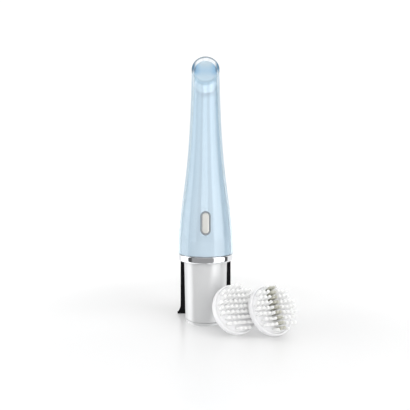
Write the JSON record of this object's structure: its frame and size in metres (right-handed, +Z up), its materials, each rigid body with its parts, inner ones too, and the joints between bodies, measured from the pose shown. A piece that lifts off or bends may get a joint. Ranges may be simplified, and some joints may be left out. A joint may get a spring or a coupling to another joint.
{
  "type": "facial cleansing brush",
  "caption": "Tapered two-layer handle with a slanted capped drive spindle, upright oblong button and silver foot, in a charging stand, with two loose round brush heads.",
  "frame": {"origin": "on the floor at the handle's axis, at the stand's resting face", "axes": "+Z up along the handle, -Y towards the front with the button, +X towards the loose brush heads"},
  "size_m": [0.0919, 0.0772, 0.22],
  "materials": {
    "clear": "gloss",
    "pearl_blue": "gloss",
    "tip_clear": "gloss",
    "chrome": "polished",
    "satin_silver": "satin",
    "bezel_metal": "polished",
    "button_pearl": "satin",
    "stand_black": "gloss",
    "head_white": "satin",
    "tuft_white": "matte",
    "tuft_olive": "matte",
    "steel": "satin",
    "bronze": "satin",
    "gear_white": "satin",
    "dark_plastic": "satin",
    "frame_grey": "satin",
    "copper": "satin",
    "rubber": "matte",
    "board_green": "satin",
    "cell_green": "satin"
  },
  "bodies": {
    "charging_stand": {"stand_base": "stand_black", "stand_back": "stand_black", "stand_coil": "copper", "stand_coil_cover": "dark_plastic", "stand_board": "board_green", "dc_socket": "dark_plastic", "stand_screws": "steel", "stand_feet": "rubber"},
    "handle": {"outer_shell": "clear", "inner_shell": "pearl_blue", "drive_seat": "frame_grey", "spindle_seal": "rubber", "spindle_bearing": "bronze", "gearbox_case": "dark_plastic", "gearbox_cover": "dark_plastic", "motor_can": "steel", "motor_magnets": "dark_plastic", "motor_end_cap": "dark_plastic", "chassis": "frame_grey", "circuit_board": "board_green", "tact_switch": "dark_plastic", "button_bezel": "bezel_metal", "button_gasket": "rubber", "ring_seal": "rubber", "ring_screws": "steel", "chrome_ring": "chrome", "base_sleeve": "satin_silver", "base_cap": "frame_grey", "receiver_coil": "copper", "battery_holder": "dark_plastic", "battery_cell": "cell_green", "battery_contacts": "steel"},
    "cap": {"tip_cap": "tip_clear", "cap_core": "pearl_blue"},
    "button": {"power_button": "button_pearl"},
    "spindle_body": {"spindle": "steel", "crown_gear": "gear_white"},
    "layshaft_body": {"layshaft": "steel", "spur_gear": "gear_white"},
    "rotor": {"motor_rotor": "copper"},
    "brush_head_a": {"head_a_cup": "head_white", "head_a_tuft_plate": "head_white", "head_a_hub": "frame_grey", "head_a_tufts": "tuft_white"},
    "brush_head_b": {"head_b_cup": "head_white", "head_b_tuft_plate": "head_white", "head_b_hub": "frame_grey", "head_b_tufts": "tuft_white", "head_b_centre_row": "tuft_olive"}
  },
  "joints": [
    {"name": "handle_lift", "type": "slide", "parent": "charging_stand", "child": "handle", "axis": [0, 0, 1], "range_m": [0, 0.08]},
    {"name": "tip_cap_pull", "type": "slide", "parent": "handle", "child": "cap", "axis": [0, -0.7986, 0.6018], "range_m": [0, 0.05]},
    {"name": "power_button_press", "type": "slide", "parent": "handle", "child": "button", "axis": [0, 1, 0], "range_m": [0, 0.0006], "stiffness_N_per_m": 2000, "springref_m": -0.0003},
    {"name": "spindle_turn", "type": "hinge", "parent": "handle", "child": "spindle_body", "pos_m": [0, 0.0032, 0.19366], "axis": [0, -0.7986, 0.6018], "continuous": true},
    {"name": "layshaft_turn", "type": "hinge", "parent": "handle", "child": "layshaft_body", "pos_m": [0, 0.0032, 0.18], "axis": [0, 0, 1], "continuous": true},
    {"name": "rotor_turn", "type": "hinge", "parent": "handle", "child": "rotor", "pos_m": [0, 0, 0.16], "axis": [0, 0, 1], "continuous": true},
    {"name": "brush_head_a_lift", "type": "slide", "parent": "charging_stand", "child": "brush_head_a", "axis": [-0.8957, -0.4135, 0.1636], "range_m": [0, 0.06]},
    {"name": "brush_head_b_lift", "type": "slide", "parent": "charging_stand", "child": "brush_head_b", "axis": [0, 0, 1], "range_m": [0, 0.06]}
  ],
  "couplings": [
    {"joint": "layshaft_turn", "follows": "spindle_turn", "ratio": 2},
    {"joint": "rotor_turn", "follows": "spindle_turn", "ratio": -4.6667}
  ]
}
